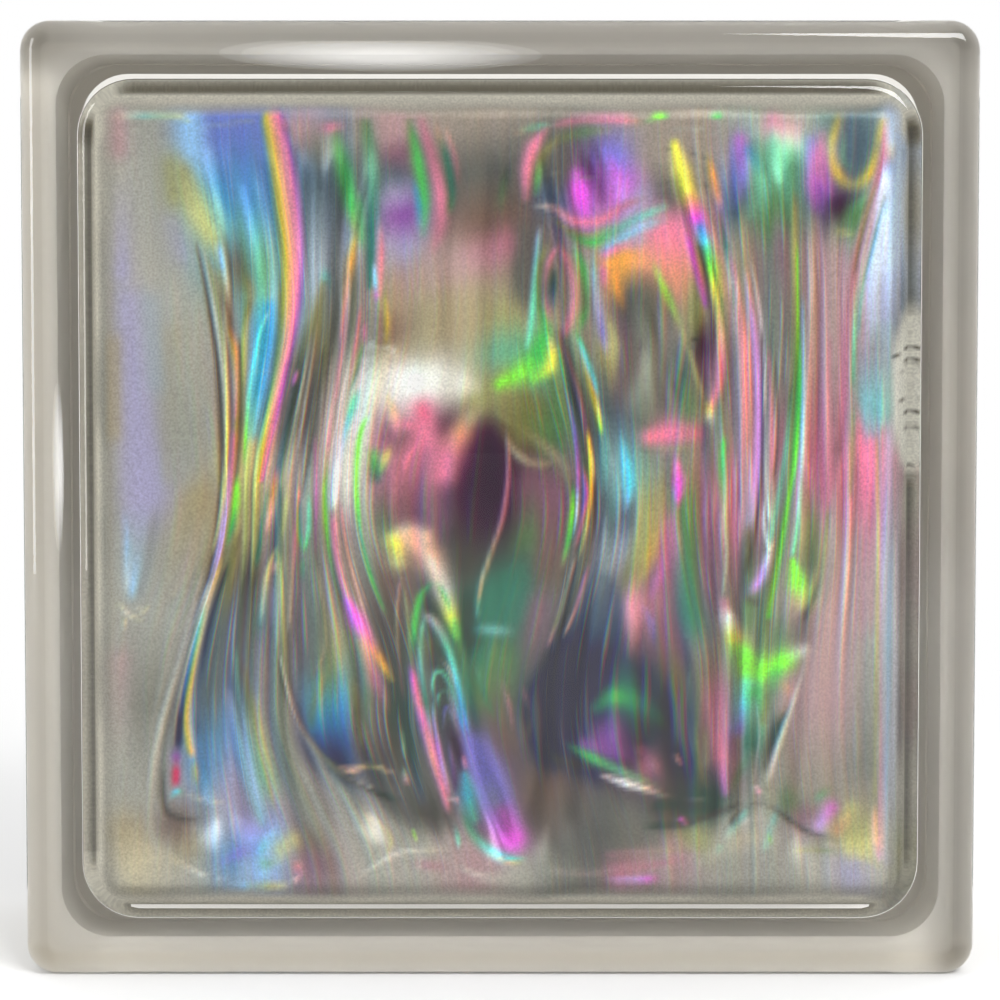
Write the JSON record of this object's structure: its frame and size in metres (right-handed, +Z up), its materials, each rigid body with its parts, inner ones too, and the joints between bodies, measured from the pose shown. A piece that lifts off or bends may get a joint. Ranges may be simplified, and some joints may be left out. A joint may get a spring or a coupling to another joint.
{
  "type": "glass block",
  "caption": "Hollow square glass block with rounded raised panels, a mortar channel round its edges, a sealed cavity and wavy inner faces, the front one with an iridescent coat",
  "frame": {"origin": "middle of the bottom edge, in the plane the block stands on", "axes": "X is the width, Y is the depth with the front face looking along -Y, +Z is up as the block is laid"},
  "size_m": [0.19, 0.08, 0.19],
  "materials": {
    "glass": "clear pressed glass with an iridescent coat on the front wavy inner face and a matt bonding coat in the mortar channel"
  },
  "bodies": {
    "root": {"glass_block": "glass"}
  },
  "joints": []
}
